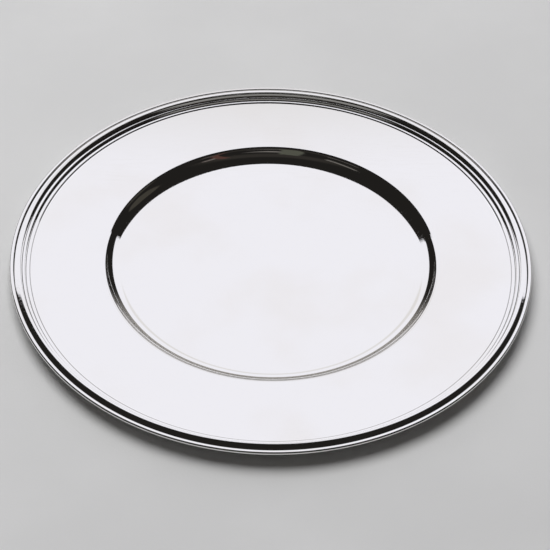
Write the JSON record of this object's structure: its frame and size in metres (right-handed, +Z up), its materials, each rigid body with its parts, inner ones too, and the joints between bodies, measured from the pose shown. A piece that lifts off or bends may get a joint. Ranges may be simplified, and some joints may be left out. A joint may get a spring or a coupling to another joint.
{
  "type": "round salver",
  "caption": "Round silver-plated salver with a shallow dished well, a broad plain rim and a raised reeded border, for carrying and serving.",
  "frame": {"origin": "centre of the flat underside of the well, on the surface the salver stands on", "axes": "+Z up along the salver's axis; X and Y lie in the surface it stands on, and the salver is the same all round"},
  "size_m": [0.3, 0.3, 0.0113],
  "materials": {
    "body_silver": "mirror-polished silver plate with fine hairline wear",
    "thread_silver": "polished drawn silver wire",
    "roll_silver": "mirror-polished struck silver",
    "soft_solder": "dull grey soft solder, hidden inside the roll",
    "binding_silver": "polished silver strip, softly worn at its nose",
    "band_silver": "silver plate, less brightly finished than the top"
  },
  "bodies": {
    "root": {"salver_body": "body_silver", "inner_thread": "thread_silver", "outer_thread": "thread_silver", "border_roll": "roll_silver", "border_filling": "soft_solder", "edge_binding": "binding_silver", "under_border": "band_silver"}
  },
  "joints": []
}
